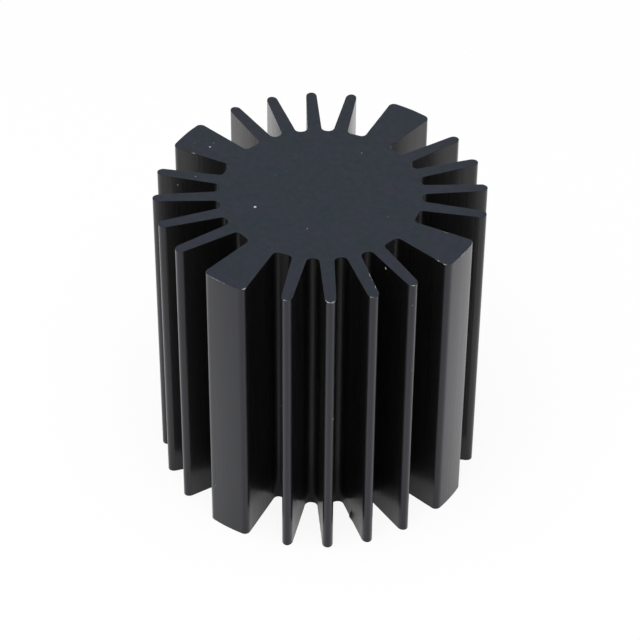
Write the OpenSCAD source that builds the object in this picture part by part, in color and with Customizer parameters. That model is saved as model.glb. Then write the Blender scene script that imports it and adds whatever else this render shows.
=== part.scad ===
// Round star-shaped heat sink: a solid core that carries groups of thin cooling fins,
// parted by thick wedge-shaped fins. One straight extrusion, sawn square at both ends.
// The section is drawn in the XY plane, with a thick fin on +X, and runs up along +Z.

/* [Overall] */
// Diameter over the fin tips
outer_d = 50; // [44:0.5:60]
// Length between the two sawn ends
cut_length = 50; // [10:1:150]
// Diameter of the solid core at the floors of the gaps
core_d = 30.4; // [24:0.2:36]

/* [Thin fins] */
// Thin fins between two thick ones
fins_per_bay = 4; // [1:1:5]
// Angle between neighbouring thin fins
fin_pitch = 14.75; // [12:0.25:16]
// Thickness at the tip, which is a full round
fin_tip_t = 1.65; // [1:0.05:2.4]
// Thickness at the core
fin_root_t = 2.2; // [1.4:0.05:2.8]
// Fillet radius at the floor of a gap between two thin fins
fin_floor_r = 0.9; // [0.2:0.05:1.2]

/* [Thick fins] */
// Thick fins, evenly spaced around the core
thick_fins = 4; // [2:1:4]
// Width at the tip, where the flanks would meet the outer diameter
thick_tip_w = 7.15; // [5:0.05:9]
// Width at the core
thick_root_w = 4.4; // [3:0.1:5.6]
// Radius of the two corners at the tip
thick_corner_r = 0.9; // [0.3:0.1:2]
// Fillet radius at the floor of a gap beside a thick fin
thick_floor_r = 0.8; // [0.2:0.05:1.4]

/* [Hidden] */
$fn = 96;

anodised_black = [0.21, 0.225, 0.25];
outer_r = outer_d / 2;
core_r = core_d / 2;
bay_angle = 360 / thick_fins;
// Angle from a thick fin to the first thin fin of its bay
bay_start = (bay_angle - (fins_per_bay - 1) * fin_pitch) / 2;
// Overlap by which an arc crosses the line or arc that it runs into
blend = 0.001;
// Depth by which the foot of a fin is buried in the core
bury = 1;
// Share of a full-round floor that a fillet may take up
floor_share = 0.9;

// A flank is the upper side of a fin that points along +X:
// where it starts on the core, and its slant against the fin's own axis.
fin_tip_r = fin_tip_t / 2;
fin_tip_x = outer_r - fin_tip_r;
fin_root = ring_point(core_r, fin_root_t / 2);
fin_rise = fin_root - [fin_tip_x, 0];
fin_slant = asin(fin_tip_r / norm(fin_rise)) - atan2(fin_rise.y, -fin_rise.x);
thick_root = ring_point(core_r, thick_root_w / 2);
thick_tip = ring_point(outer_r, thick_tip_w / 2);
thick_slant = atan2(thick_tip.y - thick_root.y, thick_tip.x - thick_root.x);

function along(slant) = [cos(slant), sin(slant)];
function across(slant) = [-sin(slant), cos(slant)];
// Point of the circle of radius r that lies h above the X axis
function ring_point(r, h) = [sqrt(r * r - h * h), h];
// Point where the line from p along unit vector u leaves the circle of radius r
function ring_exit(p, u, r) = p + u * (sqrt(pow(p * u, 2) - p * p + r * r) - p * u);
function root_angle(root) = atan2(root.y, root.x);
// Closed outline, counter-clockwise, from its upper side alone
function both_sides(side) = concat([for (p = side) [p.x, -p.y]], [for (i = [len(side) - 1 : -1 : 0]) side[i]]);

// Angle from a fin's axis to the middle of the gap floor beside it
function floor_middle(root, next_root, spacing) = (root_angle(root) + spacing - root_angle(next_root)) / 2;
// Radius of the one arc that would round the whole floor of that gap
function full_floor_r(root, slant, middle) =
    (core_r * sin(middle - slant) - root * across(slant)) / (1 - sin(middle - slant));
// Fillet radius, kept below that full round
function fitted_r(wanted, root, slant, middle) = min(wanted, floor_share * full_floor_r(root, slant, middle));

fin_to_fin = floor_middle(fin_root, fin_root, fin_pitch);
fin_to_thick = floor_middle(fin_root, thick_root, bay_start);
thick_to_fin = floor_middle(thick_root, fin_root, bay_start);
fin_gap_r = fitted_r(fin_floor_r, fin_root, fin_slant, fin_to_fin);
fin_side_r = fitted_r(thick_floor_r, fin_root, fin_slant, fin_to_thick);
thick_side_r = fitted_r(thick_floor_r, thick_root, thick_slant, thick_to_fin);

// Fillet of radius r in the corner between the core and a fin's upper flank
module floor_fillet(root, slant, r) {
    centre = ring_exit(root + r * across(slant), along(slant), core_r + r);
    on_flank = centre - r * across(slant);
    on_core = centre * core_r / (core_r + r);
    inside_core = [core_r - 2 * r, 0];
    difference() {
        polygon([on_flank, on_core, inside_core]);
        translate(centre) circle(r + blend);
    }
}

// Thin fin along +X: straight tapered flanks and a full-round tip
module thin_fin(left_floor_r, right_floor_r) {
    foot = fin_root - bury * along(fin_slant);
    shoulder = [fin_tip_x, 0] + (fin_tip_r - blend) * across(fin_slant);
    polygon(both_sides([foot, shoulder]));
    translate([fin_tip_x, 0]) circle(fin_tip_r);
    floor_fillet(fin_root, fin_slant, left_floor_r);
    mirror([0, 1]) floor_fillet(fin_root, fin_slant, right_floor_r);
}

// Thick fin along +X: a wedge whose tip follows the outer diameter between two rounded corners
module thick_fin() {
    in_flank = thick_root - thick_corner_r * across(thick_slant);
    corner = ring_exit(in_flank, along(thick_slant), outer_r - thick_corner_r + blend);
    ray = corner / norm(corner);
    foot = thick_root - bury * along(thick_slant);
    shoulder = corner + (thick_corner_r - blend) * across(thick_slant);
    over_rim = ray * (outer_r + blend / 2);
    beyond_rim = ray * outer_d;
    intersection() {
        circle(outer_r);
        union() {
            polygon(both_sides([foot, shoulder, over_rim, beyond_rim]));
            for (side = [1, -1]) translate([corner.x, side * corner.y]) circle(thick_corner_r);
        }
    }
    for (side = [0, 1]) mirror([0, side]) floor_fillet(thick_root, thick_slant, thick_side_r);
}

// Thin fins of one bay, counted away from the thick fin on +X
module fin_group() {
    last = fins_per_bay - 1;
    for (i = [0 : last])
        rotate(bay_start + i * fin_pitch)
            thin_fin(i == last ? fin_side_r : fin_gap_r, i == 0 ? fin_side_r : fin_gap_r);
}

module section() {
    circle(core_r);
    for (bay = [0 : thick_fins - 1])
        rotate(bay * bay_angle) {
            thick_fin();
            fin_group();
        }
}

module heat_sink() {
    color(anodised_black) linear_extrude(cut_length) section();
}

heat_sink();
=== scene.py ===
import math
import bpy
import numpy as np
from mathutils import Matrix, Vector


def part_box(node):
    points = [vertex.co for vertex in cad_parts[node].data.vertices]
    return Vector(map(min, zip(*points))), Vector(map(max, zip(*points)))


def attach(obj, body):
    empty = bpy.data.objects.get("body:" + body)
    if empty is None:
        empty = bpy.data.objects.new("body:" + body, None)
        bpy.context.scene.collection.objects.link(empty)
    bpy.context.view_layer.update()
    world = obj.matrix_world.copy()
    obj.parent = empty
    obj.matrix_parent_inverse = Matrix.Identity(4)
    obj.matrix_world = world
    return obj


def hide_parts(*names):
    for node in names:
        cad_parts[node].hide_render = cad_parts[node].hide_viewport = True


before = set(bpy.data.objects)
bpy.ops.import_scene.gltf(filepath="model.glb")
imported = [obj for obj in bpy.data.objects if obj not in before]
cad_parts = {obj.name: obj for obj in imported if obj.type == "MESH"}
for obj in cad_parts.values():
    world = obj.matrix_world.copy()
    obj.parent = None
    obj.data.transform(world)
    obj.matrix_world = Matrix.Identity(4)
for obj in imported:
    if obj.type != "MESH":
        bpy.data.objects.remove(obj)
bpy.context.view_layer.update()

# The heat sink: one length of aluminium star extrusion, a solid core that carries four groups of thin
# fins, parted by four thick wedge fins. Its ends are sawn square, and it is anodised black all over,
# so only the rubbed and nicked places on its edges show bare metal.
MM = 0.001
low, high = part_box("heat_sink")
OUTER_R = (high.x - low.x) / 2
LENGTH = high.z - low.z
CORE_R = 15.2 * MM
BAYS = 4
FINS_PER_BAY = 4
FIN_PITCH = math.radians(14.75)
BAY_START = (2 * math.pi / BAYS - (FINS_PER_BAY - 1) * FIN_PITCH) / 2
FIN_TIP_R = 0.825 * MM
FIN_TIP_LENGTH = 1.0 * MM
FIN_ROOT_HALF = 1.1 * MM
FIN_FLOOR_R = 0.9 * MM
THICK_TIP_HALF = 3.575 * MM
THICK_ROOT_HALF = 2.2 * MM
THICK_CORNER_R = 0.9 * MM
THICK_FLOOR_R = 0.8 * MM
FLOOR_STEPS, FILLET_STEPS, FLANK_STEPS, TIP_STEPS = 4, 8, 46, 19
# The break of the sawn edges: a small round whose radius wanders along the edge, mostly in fewer than
# WOBBLE_WAVES waves a turn. The next ring of the wall lies EDGE_HOLD radii from the end.
EDGE_R = 0.03 * MM
EDGE_STEPS = 5
EDGE_HOLD = 3
EDGE_WOBBLE = 0.35
WOBBLE_WAVES = 350
WOBBLE_LIMIT = 2
LOWER_SEED, UPPER_SEED = 11, 12
# Nicks in the upper edge: place on the section, reach along the edge, and depth, in millimetres.
NICKS = MM * np.array([
    (3.40, -24.30, 0.26, 0.12), (-1.10, -24.97, 1.90, 0.030),
    (9.40, -23.00, 0.30, 0.09), (14.75, -19.85, 0.35, 0.11), (15.45, -19.50, 0.30, 0.11),
    (19.36, -15.42, 0.22, 0.12), (22.90, -10.00, 0.30, 0.06),
    (16.45, -11.68, 0.36, 0.17), (17.32, -12.33, 0.18, 0.13),
    (18.58, -13.36, 0.30, 0.14), (19.50, -14.00, 0.16, 0.06),
    (22.80, -3.35, 0.25, 0.09), (23.98, -3.30, 0.20, 0.09),
    (20.30, 2.82, 0.42, 0.18), (19.60, 2.73, 0.20, 0.11), (24.97, 0.10, 2.20, 0.034),
    (24.55, 2.85, 0.30, 0.06), (-21.20, -2.85, 0.25, 0.08)])
# A nick of this depth or more is wholly bare.
BARE_DEPTH = 0.05 * MM
# The burr that the saw left at the foot of one thin fin, and the heights of the rings that shape it.
BURR_PLACE = (14.90 - 12.70j) * MM
BURR_HALF_WIDTH = 0.27 * MM
BURR_MIDDLE = 0.95 * MM
BURR_HALF_HEIGHT = 1.2 * MM
BURR_BULGE = 0.42 * MM
BURR_ROWS = MM * np.array([0.25, 0.5, 0.75, 0.95, 1.15, 1.4, 1.65, 1.9, 2.15, 2.45])


def on_ring(radius, half):
    """Point of a circle about the origin that lies half above the fin's axis, as a complex number."""
    return complex(math.sqrt(radius ** 2 - half ** 2), half)


def ring_exit(point, heading, radius):
    """Where the line from point along the unit number heading leaves the circle of that radius."""
    reach = (point * heading.conjugate()).real
    return point + heading * (math.sqrt(reach ** 2 - abs(point) ** 2 + radius ** 2) - reach)


def arc(centre, radius, start, end, steps):
    """Points of a circular arc and their directions from its centre, from angle start to angle end."""
    turn = np.exp(1j * np.linspace(start, end, steps))
    return centre + radius * turn, turn


def fin_side(root, slant, floor_r, floor_middle, tip):
    """Upper side of a fin that points along the real axis, from the middle of the gap floor to the tip.

    The core's own arc runs into a fillet of radius floor_r, the fillet into the straight flank, and the
    flank into the arcs of tip, which are given as points and outward normals. Returns both for the side.
    """
    along = complex(math.cos(slant), math.sin(slant))
    across = along * 1j
    centre = ring_exit(root + floor_r * across, along, CORE_R + floor_r)
    bearing = math.atan2(centre.imag, centre.real)
    floor, floor_out = arc(0, CORE_R, floor_middle, bearing, FLOOR_STEPS)
    fillet, fillet_in = arc(centre, floor_r, bearing - math.pi, slant - math.pi / 2, FILLET_STEPS)
    share = np.linspace(0, 1, FLANK_STEPS)[1:-1]
    flank = fillet[-1] + (tip[0][0] - fillet[-1]) * share
    points = np.concatenate([floor[:-1], fillet, flank, tip[0]])
    normals = np.concatenate([floor_out[:-1], -fillet_in, np.full(flank.size, across), tip[1]])
    return points, normals


def star_section():
    """Closed section of the extrusion, as one row per fin of points and of outward normals.

    Each row runs from one gap floor up the right side of a fin, over its tip and down the left side.
    The right side is the mirror image of fin_side, and each row is turned to the angle of its fin. A
    thin fin ends in half an ellipse: a circle of radius FIN_TIP_R, stretched along the fin to
    FIN_TIP_LENGTH, with the flank worked out as the tangent of the circle before it is stretched.
    """
    fin_root = on_ring(CORE_R, FIN_ROOT_HALF)
    stretch = FIN_TIP_LENGTH / FIN_TIP_R
    tip_x = OUTER_R - FIN_TIP_LENGTH
    span = (tip_x - fin_root.real) / stretch
    lean = math.asin(FIN_TIP_R / math.hypot(span, FIN_ROOT_HALF)) - math.atan2(FIN_ROOT_HALF, span)
    fin_slant = math.atan(math.tan(lean) / stretch)
    turn = arc(0, 1, lean + math.pi / 2, 0, TIP_STEPS)[0]
    facing = turn.real / stretch + 1j * turn.imag
    fin_tip = tip_x + FIN_TIP_R * (stretch * turn.real + 1j * turn.imag), facing / np.abs(facing)

    thick_root = on_ring(CORE_R, THICK_ROOT_HALF)
    thick_rise = on_ring(OUTER_R, THICK_TIP_HALF) - thick_root
    thick_slant = math.atan2(thick_rise.imag, thick_rise.real)
    heading = thick_rise / abs(thick_rise)
    corner = ring_exit(thick_root - THICK_CORNER_R * heading * 1j, heading, OUTER_R - THICK_CORNER_R)
    bearing = math.atan2(corner.imag, corner.real)
    half = TIP_STEPS // 2
    round_corner = arc(corner, THICK_CORNER_R, thick_slant + math.pi / 2, bearing, half)
    rim = arc(0, OUTER_R, bearing, 0, TIP_STEPS - half + 1)
    thick_tip = [np.concatenate([a, b[1:]]) for a, b in zip(round_corner, rim)]

    fin_edge = math.atan2(fin_root.imag, fin_root.real)
    thick_edge = math.atan2(thick_root.imag, thick_root.real)
    middle = (thick_edge + BAY_START - fin_edge) / 2
    by_fin = fin_side(fin_root, fin_slant, FIN_FLOOR_R, FIN_PITCH / 2, fin_tip)
    by_thick = fin_side(fin_root, fin_slant, THICK_FLOOR_R, BAY_START - middle, fin_tip)
    of_thick = fin_side(thick_root, thick_slant, THICK_FLOOR_R, middle, thick_tip)

    inner = [(by_fin, by_fin)] * (FINS_PER_BAY - 2)
    bay = [(of_thick, of_thick), (by_thick, by_fin)] + inner + [(by_fin, by_thick)]
    angles = np.concatenate([[0], BAY_START + FIN_PITCH * np.arange(FINS_PER_BAY)])
    rows = [np.stack([np.concatenate([right[k].conj(), left[k][-2:0:-1]]) for right, left in bay])
            for k in (0, 1)]
    turns = np.exp(1j * (angles + (2 * math.pi / BAYS) * np.arange(BAYS)[:, None])).ravel()[:, None]
    return [np.tile(r, (BAYS, 1)) * turns for r in rows]


def bell(points, places, reach):
    """Bell curve of the distance from each point to each place, 1 at the place itself."""
    return np.exp(-(np.abs(points[:, None] - places) / reach) ** 2)


def wobble(count, seed):
    """Smooth random waviness around a closed row of points: noise with its fine waves faded out."""
    draw = np.fft.rfft(np.random.default_rng(seed).normal(size=count))
    wave = np.fft.irfft(draw * np.exp(-(np.arange(draw.size) / WOBBLE_WAVES) ** 2), count)
    return np.clip(wave / wave.std(), -WOBBLE_LIMIT, WOBBLE_LIMIT)


def carried_up(points, normals, lower_r, upper_r):
    """The section carried along Z, with a quarter round of its own radius at each sawn edge.

    Each ring is the section moved in along its normals by a share of the round's radius. The path
    climbs the lower round, the rows of the burr and the upper round, and the burr bulges out of the
    wall as a bell curve of place and height. Returns an array of rings, points and coordinates.
    """
    turn = np.linspace(0, math.pi / 2, EDGE_STEPS)[:, None]
    low_in = np.concatenate([(1 - np.sin(turn)) * lower_r, 0 * lower_r[None]])
    low_up = np.concatenate([(1 - np.cos(turn)) * lower_r, EDGE_HOLD * lower_r[None]])
    wall_up = np.concatenate([BURR_ROWS, [LENGTH / 2]])[:, None] + 0 * lower_r
    top_in = np.concatenate([0 * upper_r[None], (1 - np.cos(turn)) * upper_r])
    top_up = LENGTH - np.concatenate([EDGE_HOLD * upper_r[None], (1 - np.sin(turn)) * upper_r])
    inset = np.concatenate([low_in, 0 * wall_up, top_in])
    height = np.concatenate([low_up, wall_up, top_up])
    burr = bell(points, BURR_PLACE, BURR_HALF_WIDTH)[:, 0]
    burr = BURR_BULGE * burr * np.clip(1 - ((height - BURR_MIDDLE) / BURR_HALF_HEIGHT) ** 2, 0, 1) ** 2
    ring = points - normals * (inset - burr)
    return np.stack([ring.real, ring.imag, low.z + height], axis=-1)


def star_faces(rings, fins, row):
    """Quads of the wall between neighbouring rings, then the faces of the lower and the upper end.

    An end is a ladder of quads across each fin, from its two gap floors to its tip, and one fan of
    triangles from the centre of the core to the feet of the ladders.
    """
    count = fins * row
    ring, step = np.meshgrid(np.arange(rings - 1) * count, np.arange(count), indexing="ij")
    after = (step + 1) % count
    wall = np.stack([ring + step, ring + after, ring + count + after, ring + count + step], -1)
    start = np.arange(fins)[:, None] * row
    rung = np.arange(row // 2)
    right, left = start + rung, start + row - rung
    ladder = np.stack([right, right + 1, left - 1, left], -1) % count
    rungs, tips = ladder[:, :-1].reshape(-1, 4), ladder[:, -1, [0, 1, 3]]
    fan = np.stack([start[:, 0], start[:, 0] + row], -1) % count
    top = (rings - 1) * count
    lower_fan = np.c_[fan[:, ::-1], np.full(fins, rings * count)]
    upper_fan = np.c_[fan + top, np.full(fins, rings * count + 1)]
    lower_end = rungs[:, ::-1].tolist() + tips[:, ::-1].tolist() + lower_fan.tolist()
    upper_end = (rungs + top).tolist() + (tips + top).tolist() + upper_fan.tolist()
    return wall.reshape(-1, 4), lower_end + upper_end


section, section_out = star_section()
fins, row = section.shape
outline, outward = section.ravel(), section_out.ravel()
nick = bell(outline, NICKS[:, 0] + 1j * NICKS[:, 1], NICKS[:, 2]) @ NICKS[:, 3]
lower_r = EDGE_R * (1 + EDGE_WOBBLE * wobble(outline.size, LOWER_SEED))
upper_r = EDGE_R * (1 + EDGE_WOBBLE * wobble(outline.size, UPPER_SEED)) + nick
rings = carried_up(outline, outward, lower_r, upper_r)
poles = np.array([[0, 0, low.z], [0, 0, high.z]])
vertices = np.concatenate([rings.reshape(-1, 3), poles])
wall_faces, end_faces = star_faces(len(rings), fins, row)

body_mesh = bpy.data.meshes.new("heat_sink_body")
body_mesh.from_pydata(vertices.tolist(), [], wall_faces.tolist() + end_faces)
is_end = np.arange(len(body_mesh.polygons)) >= len(wall_faces)
body_mesh.polygons.foreach_set("use_smooth", ~is_end)

# A map of the walls for the die's lines: the length along the section across, and the height up. On
# the ends, it is the place itself.
girth = np.concatenate([[0], np.cumsum(np.abs(np.roll(outline, -1) - outline))])
across = np.stack([girth[:-1], girth[1:], girth[1:], girth[:-1]], -1)
corner = np.empty(len(body_mesh.loops), np.int32)
body_mesh.loops.foreach_get("vertex_index", corner)
flat = vertices[corner][:, :2]
flat[:wall_faces.size, 0] = np.tile(across.ravel(), len(rings) - 1)
flat[:wall_faces.size, 1] = vertices[corner[:wall_faces.size], 2]
body_mesh.uv_layers.new(name="wall").data.foreach_set("uv", flat.ravel().astype(np.float32))

# How far each point is rubbed down to bare metal: on the inner rings of the upper round alone.
rubbed = np.zeros(rings.shape[:2])
rubbed[1 - EDGE_STEPS:-1] = np.clip(nick / BARE_DEPTH, 0, 1)
worn = body_mesh.attributes.new("worn", "FLOAT", "POINT")
worn.data.foreach_set("value", np.append(rubbed.ravel(), [0, 0]).astype(np.float32))
body = bpy.data.objects.new("heat_sink_body", body_mesh)
bpy.context.scene.collection.objects.link(body)


def blank_finish(name):
    """A new material of that name, with its node tree and its plain shader."""
    material = bpy.data.materials.new(name)
    material.use_nodes = True
    return material, material.node_tree, material.node_tree.nodes["Principled BSDF"]


def wire(tree, node, inputs):
    """Sets each input of a node to its value, or joins it where the value is another node's output."""
    for key, value in inputs.items():
        if isinstance(value, bpy.types.NodeSocket):
            tree.links.new(value, node.inputs[key])
        else:
            node.inputs[key].default_value = value


def add(tree, kind, inputs, **settings):
    """A new shader node of that kind, with its settings made and its inputs wired."""
    node = tree.nodes.new(kind)
    for name, value in settings.items():
        setattr(node, name, value)
    wire(tree, node, inputs)
    return node


def combine(tree, operation, a, b):
    """Two numbers put together: their sum, difference or product, or the greater of the two."""
    return add(tree, "ShaderNodeMath", {0: a, 1: b}, operation=operation).outputs[0]


def spread(tree, value, start, end, to_start, to_end):
    """A number carried from one range to another in a straight line, and held at its ends."""
    ranges = {0: value, 1: start, 2: end, 3: to_start, 4: to_end}
    return add(tree, "ShaderNodeMapRange", ranges).outputs[0]


def tint(tree, share, plain, other):
    """The plain colour where share is 0, the other colour where it is 1."""
    return add(tree, "ShaderNodeMix", {0: share, 6: plain, 7: other}, data_type="RGBA").outputs[2]


def noise(tree, place, waves, detail, roughness=0.5, dimensions="3D"):
    """Smooth noise about 0.5, of so many waves a metre.

    On it ride detail finer noises, each of twice the waves and roughness times the strength of the last.
    """
    inputs = {"Vector": place, "Scale": waves, "Detail": detail, "Roughness": roughness}
    return add(tree, "ShaderNodeTexNoise", inputs, noise_dimensions=dimensions).outputs[0]


def drawn_out(tree, place, stretch, grid_turn=0):
    """A place with its Y scaled by stretch, so that noise read there runs in lines along Y.

    It is then turned about Z by grid_turn, which turns the noise's own grid and not the lines.
    """
    inputs = {"Vector": place, "Rotation": (0, 0, grid_turn), "Scale": (1, stretch, 1)}
    return add(tree, "ShaderNodeMapping", inputs).outputs[0]


def off_axis(tree, place):
    """Distance of a place from the part's own axis: the length of its X and Y."""
    level = add(tree, "ShaderNodeVectorMath", {0: place, 1: (1, 1, 0)}, operation="MULTIPLY").outputs[0]
    return add(tree, "ShaderNodeVectorMath", {0: level}, operation="LENGTH").outputs["Value"]


def raised(tree, height, distance):
    """Surface direction tilted by the slope of height, where 1 stands that distance above 0."""
    return add(tree, "ShaderNodeBump", {"Height": height, "Distance": distance, "Strength": 1}).outputs[0]


def specks(tree, place, dust, heart=0.4):
    """Mask of dust: round specks about given points, each with its own radius and strength.

    A speck has its strength out to the share heart of its radius, and fades to nothing at the radius.
    """
    mask = 0.0
    for x, y, z, radius, strength in dust:
        spot = (x * MM, y * MM, z * MM)
        gap = add(tree, "ShaderNodeVectorMath", {0: place, 1: spot}, operation="DISTANCE")
        disc = spread(tree, gap.outputs["Value"], radius * MM, heart * radius * MM, 0, strength)
        mask = combine(tree, "MAXIMUM", mask, disc)
    return mask


# The finish as extruded: smooth black oxide, drawn out along the length in fine lines by the die. It is
# glossy towards the tips and duller deep in the gaps, bluer on the tips, and has a little dust on it.
WALL_BLACK = (0.0038, 0.0038, 0.0038, 1)
STREAK_BLACK = (0.0046, 0.0046, 0.0046, 1)
TIP_BLACK = (0.0028, 0.0036, 0.0098, 1)
TIP_RANGE = OUTER_R - 0.8 * MM, OUTER_R - 0.4 * MM
BARE_METAL = (0.66, 0.67, 0.68, 1)
DUST = (0.5, 0.5, 0.49, 1)
OXIDE_IOR = 1.3
OXIDE_ROUGHNESS = 0.27, 0.33
GLOSS_ROUGHNESS = 0.2
GLOSS_AT_CORE = 0.2
GLOSS_RANGE = CORE_R + 0.4 * MM, CORE_R + 8.5 * MM
# Noise lies mostly within NOISE_RANGE. Fine grit, cut off to GRIT_RANGE, breaks up the bare metal.
NOISE_RANGE = 0.3, 0.7
GRIT_WAVES = 4500
GRIT_RANGE = 0.38, 0.54
# The die's lines: fine ones on coarser ones, shallower on the tips.
FINE_WAVES, COARSE_WAVES = 9000, 2600
COARSE_SHARE = 0.45
LINE_STRETCH = 0.006
LINE_DEPTH = 0.014 * MM
LINE_ANISOTROPY = 0.9
TIP_LINES = 0.7
TIP_LINES_RANGE = OUTER_R - 0.6 * MM, OUTER_R - 1.6 * MM
# Dust on the walls: place and radius in millimetres, and strength.
WALL_DUST = [
    (17.00, -8.24, 49.2, 0.26, 1.0), (-19.61, -9.25, 48.63, 0.14, 0.7),
    (15.57, -19.22, 26.95, 0.16, 0.9), (12.80, -18.05, 29.40, 0.12, 0.5),
    (3.16, -14.87, 19.60, 0.12, 0.5), (22.86, -9.98, 46.24, 0.10, 0.4),
    (23.01, -9.77, 33.48, 0.10, 0.4), (-2.21, -24.90, 7.73, 0.10, 0.4)]
extruded, tree, shader = blank_finish("black_anodised_extruded")
solid = add(tree, "ShaderNodeTexCoord", {}).outputs["Object"]
reach = off_axis(tree, solid)
wall_map = add(tree, "ShaderNodeUVMap", {}, uv_map="wall").outputs[0]
tangent = add(tree, "ShaderNodeTangent", {}, direction_type="UV_MAP", uv_map="wall").outputs[0]
drawn = drawn_out(tree, wall_map, LINE_STRETCH)
fine = noise(tree, drawn, FINE_WAVES, detail=1, dimensions="2D")
coarse = noise(tree, drawn, COARSE_WAVES, detail=2, dimensions="2D")
lines = combine(tree, "ADD", fine, combine(tree, "MULTIPLY", coarse, COARSE_SHARE))
lines = combine(tree, "MULTIPLY", lines, spread(tree, reach, *TIP_LINES_RANGE, TIP_LINES, 1))
bump = raised(tree, lines, LINE_DEPTH)
wear = add(tree, "ShaderNodeAttribute", {}, attribute_name="worn").outputs["Fac"]
grit = noise(tree, solid, GRIT_WAVES, detail=2)
bare = combine(tree, "MULTIPLY", wear, spread(tree, grit, *GRIT_RANGE, 0, 1))
black = tint(tree, spread(tree, coarse, *NOISE_RANGE, 0, 1), WALL_BLACK, STREAK_BLACK)
black = tint(tree, spread(tree, reach, *TIP_RANGE, 0, 1), black, TIP_BLACK)
dusty = tint(tree, specks(tree, solid, WALL_DUST), black, DUST)
wire(tree, shader, {
    "Base Color": tint(tree, bare, dusty, BARE_METAL),
    "Metallic": bare,
    "Roughness": spread(tree, coarse, *NOISE_RANGE, *OXIDE_ROUGHNESS),
    "IOR": OXIDE_IOR,
    "Anisotropic": LINE_ANISOTROPY,
    "Tangent": tangent,
    "Normal": bump,
    "Coat Weight": spread(tree, reach, *GLOSS_RANGE, GLOSS_AT_CORE, 1),
    "Coat Roughness": GLOSS_ROUGHNESS,
    "Coat IOR": OXIDE_IOR,
    "Coat Normal": bump})
body_mesh.materials.append(extruded)

# The finish of the sawn ends: the same oxide on a finely cut face, duller and bluer than the walls. Its
# colour clouds a little and turns towards violet at the rim, a painted tint of glare, and a little dust
# lies on the upper end.
SLATE_BLUE = (0.0160, 0.0234, 0.0297, 1)
SLATE_VIOLET = (0.0201, 0.0225, 0.0325, 1)
CLOUD_WAVES = 200
CLOUD_RANGE = 0.36, 0.64
CLOUD_HUE = 0.05, 0.85
# Painted glare: the colour turns towards violet from this reach out to the rim, standing in for stray
# light there.
PAINTED_GLARE_HUE = 0.4
PAINTED_GLARE_RANGE = 0.7 * CORE_R, OUTER_R
MOTTLE_WAVES = 900
MOTTLE_SHADE = 0.86, 1.14
SAWN_SPECULAR = 0.15
SAWN_ROUGHNESS = 0.42, 0.54
GRAIN_WAVES = 3500
GRAIN_ROUGHNESS = 0.65
SAW_WAVES = 2500
SAW_STRETCH = 0.03
SAW_GRID_TURN = 0.5
SAW_DEPTH = 0.004 * MM
# Dust on the upper end: place across and radius in millimetres, and strength.
END_DUST = [
    (-6.07, -8.29, 0.26, 1.0), (3.13, -8.05, 0.13, 0.45), (-20.05, -0.38, 0.20, 0.7),
    (-20.17, 0.75, 0.12, 0.3), (-0.29, 11.51, 0.13, 0.45), (1.09, 12.75, 0.10, 0.15),
    (-17.58, -7.47, 0.14, 0.4), (-15.66, -7.43, 0.10, 0.15), (-7.98, -0.27, 0.12, 0.16),
    (11.30, 1.06, 0.13, 0.13), (-22.56, -1.06, 0.12, 0.12), (-22.12, -1.87, 0.11, 0.10),
    (-10.11, 12.10, 0.10, 0.10), (-9.86, 11.26, 0.11, 0.09), (-7.08, 12.37, 0.12, 0.09),
    (1.57, -14.81, 0.09, 0.10), (-6.42, -7.36, 0.10, 0.10), (-7.87, 4.96, 0.10, 0.10),
    (-15.26, 0.42, 0.10, 0.10), (15.57, 1.03, 0.10, 0.09)]
sawn, tree, shader = blank_finish("black_anodised_sawn")
solid = add(tree, "ShaderNodeTexCoord", {}).outputs["Object"]
grain = noise(tree, solid, GRAIN_WAVES, detail=3, roughness=GRAIN_ROUGHNESS)
saw_lines = noise(tree, drawn_out(tree, solid, SAW_STRETCH, SAW_GRID_TURN), SAW_WAVES, detail=2)
relief = combine(tree, "ADD", grain, saw_lines)
cloud = noise(tree, solid, CLOUD_WAVES, detail=3)
hue = spread(tree, cloud, *CLOUD_RANGE, *CLOUD_HUE)
# Painted glare: a violet tint added towards the rim.
hue = combine(tree, "ADD", hue, spread(tree, off_axis(tree, solid), *PAINTED_GLARE_RANGE, 0, PAINTED_GLARE_HUE))
slate = tint(tree, hue, SLATE_BLUE, SLATE_VIOLET)
mottle = noise(tree, solid, MOTTLE_WAVES, detail=3, roughness=GRAIN_ROUGHNESS)
shade = spread(tree, mottle, *NOISE_RANGE, *MOTTLE_SHADE)
slate = add(tree, "ShaderNodeVectorMath", {0: slate, "Scale": shade}, operation="SCALE").outputs[0]
upper_dust = [(x, y, high.z / MM, radius, strength) for x, y, radius, strength in END_DUST]
wire(tree, shader, {
    "Base Color": tint(tree, specks(tree, solid, upper_dust), slate, DUST),
    "Roughness": spread(tree, grain, *NOISE_RANGE, *SAWN_ROUGHNESS),
    "Specular IOR Level": SAWN_SPECULAR,
    "Normal": raised(tree, relief, SAW_DEPTH)})
body_mesh.materials.append(sawn)
body_mesh.polygons.foreach_set("material_index", is_end.astype(np.int32))

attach(body, "root")
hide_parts("heat_sink")

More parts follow.
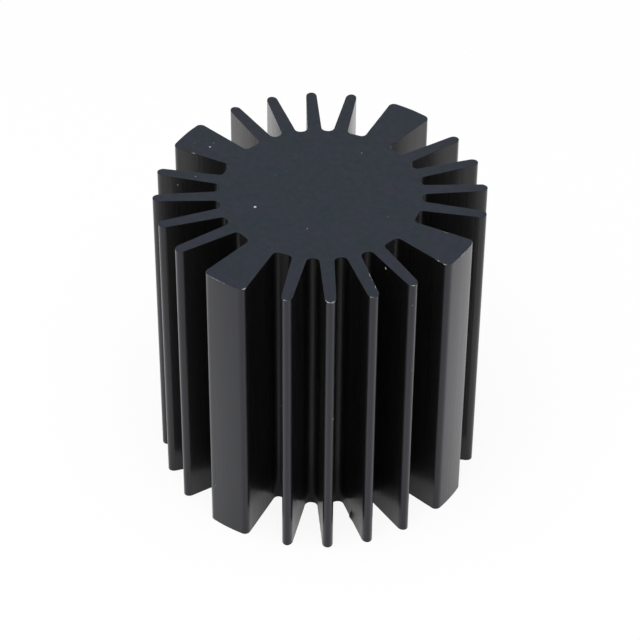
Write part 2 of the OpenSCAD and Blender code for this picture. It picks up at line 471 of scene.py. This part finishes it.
# The floor: a wide sheet of white card that runs out of view on every side. It shows its own white to
# the camera and in gloss, by these shares, with enough of its lit surface to keep the shadow.
FLOOR_HALF = 3.0
FLOOR_DROP = 0.02 * MM
CARD_WHITE = (0.9, 0.9, 0.9, 1)
WHITE = (1, 1, 1, 1)
SHOWN_SHARE = 0.9
GLOSS_SHARE = 0.25
floor_mesh = bpy.data.meshes.new("floor")
side = FLOOR_HALF * np.array([(-1, -1), (1, -1), (1, 1), (-1, 1)])
floor_mesh.from_pydata(np.c_[side, np.full(4, low.z - FLOOR_DROP)].tolist(), [], [(0, 1, 2, 3)])
floor = bpy.data.objects.new("floor", floor_mesh)
bpy.context.scene.collection.objects.link(floor)
card, tree, shader = blank_finish("white_card")
tree.nodes.remove(shader)
path = add(tree, "ShaderNodeLightPath", {}).outputs
direct = combine(tree, "MULTIPLY", path["Is Camera Ray"], SHOWN_SHARE)
mirrored = combine(tree, "MULTIPLY", path["Is Glossy Ray"], GLOSS_SHARE)
shown = combine(tree, "MAXIMUM", direct, mirrored)
matt = add(tree, "ShaderNodeBsdfDiffuse", {"Color": CARD_WHITE}).outputs[0]
white = add(tree, "ShaderNodeEmission", {"Color": WHITE, "Strength": 1}).outputs[0]
mix = add(tree, "ShaderNodeMixShader", {0: shown, 1: matt, 2: white}).outputs[0]
wire(tree, tree.nodes["Material Output"], {"Surface": mix})
floor_mesh.materials.append(card)

# The camera: stands in front of the bay between two thick fins and looks down at the middle of the
# body, through a lens long enough to keep upright lines almost parallel.
CAMERA_TURN = math.radians(33.92)
CAMERA_BACK = 313.946 * MM
CAMERA_UP = 301.451 * MM
CAMERA_ROLL = math.radians(0.537)
AIM_RIGHT = 0.095 * MM
AIM_UP = 24.758 * MM
SENSOR_WIDTH = 36
FOCAL_LENGTH = 151.88
rightwards = Vector((math.cos(CAMERA_TURN), math.sin(CAMERA_TURN), 0))
away = Vector((-math.sin(CAMERA_TURN), math.cos(CAMERA_TURN), 0))
upwards = Vector((0, 0, 1))
camera_data = bpy.data.cameras.new("camera")
camera_data.sensor_width = SENSOR_WIDTH
camera_data.lens = FOCAL_LENGTH
camera = bpy.data.objects.new("camera", camera_data)
stand = upwards * CAMERA_UP - away * CAMERA_BACK
aim = rightwards * AIM_RIGHT + upwards * AIM_UP
look = (aim - stand).to_track_quat("-Z", "Y").to_matrix() @ Matrix.Rotation(CAMERA_ROLL, 3, "Z")
camera.matrix_world = Matrix.Translation(stand) @ look.to_4x4()
bpy.context.scene.collection.objects.link(camera)
bpy.context.scene.camera = camera
bpy.context.scene.view_settings.view_transform = "Standard"

# The light: a white room, which looks dimmer towards its ceiling, and one large soft lamp overhead and a
# little in front. The lamp isn't mirrored in the part.
ROOM_LIGHT = 0.45
CEILING_SHOWN = 0.35
CEILING_RANGE = 0.26, 0.9
LAMP_RIGHT, LAMP_AWAY, LAMP_UP = -0.03, -0.15, 0.5
LAMP_SIZE = 0.5
LAMP_POWER = 2.6
world = bpy.data.worlds.new("white_room")
bpy.context.scene.world = world
world.use_nodes = True
tree = world.node_tree
path = add(tree, "ShaderNodeLightPath", {}).outputs
shown = combine(tree, "MAXIMUM", path["Is Camera Ray"], path["Is Glossy Ray"])
heading = add(tree, "ShaderNodeTexCoord", {}).outputs["Generated"]
rise = add(tree, "ShaderNodeSeparateXYZ", {0: heading}).outputs["Z"]
walls = combine(tree, "MULTIPLY", shown, spread(tree, rise, *CEILING_RANGE, 1, CEILING_SHOWN))
unseen = combine(tree, "SUBTRACT", 1, shown)
room = combine(tree, "ADD", walls, combine(tree, "MULTIPLY", unseen, ROOM_LIGHT))
wire(tree, tree.nodes["Background"], {"Color": WHITE, "Strength": room})
lamp_data = bpy.data.lights.new("softbox", "AREA")
lamp_data.shape = "SQUARE"
lamp_data.size = LAMP_SIZE
lamp_data.energy = LAMP_POWER
lamp = bpy.data.objects.new("softbox", lamp_data)
lamp.visible_glossy = False
lamp.location = rightwards * LAMP_RIGHT + away * LAMP_AWAY + upwards * LAMP_UP
lamp.rotation_euler = (aim - lamp.location).to_track_quat("-Z", "Y").to_euler()
bpy.context.scene.collection.objects.link(lamp)
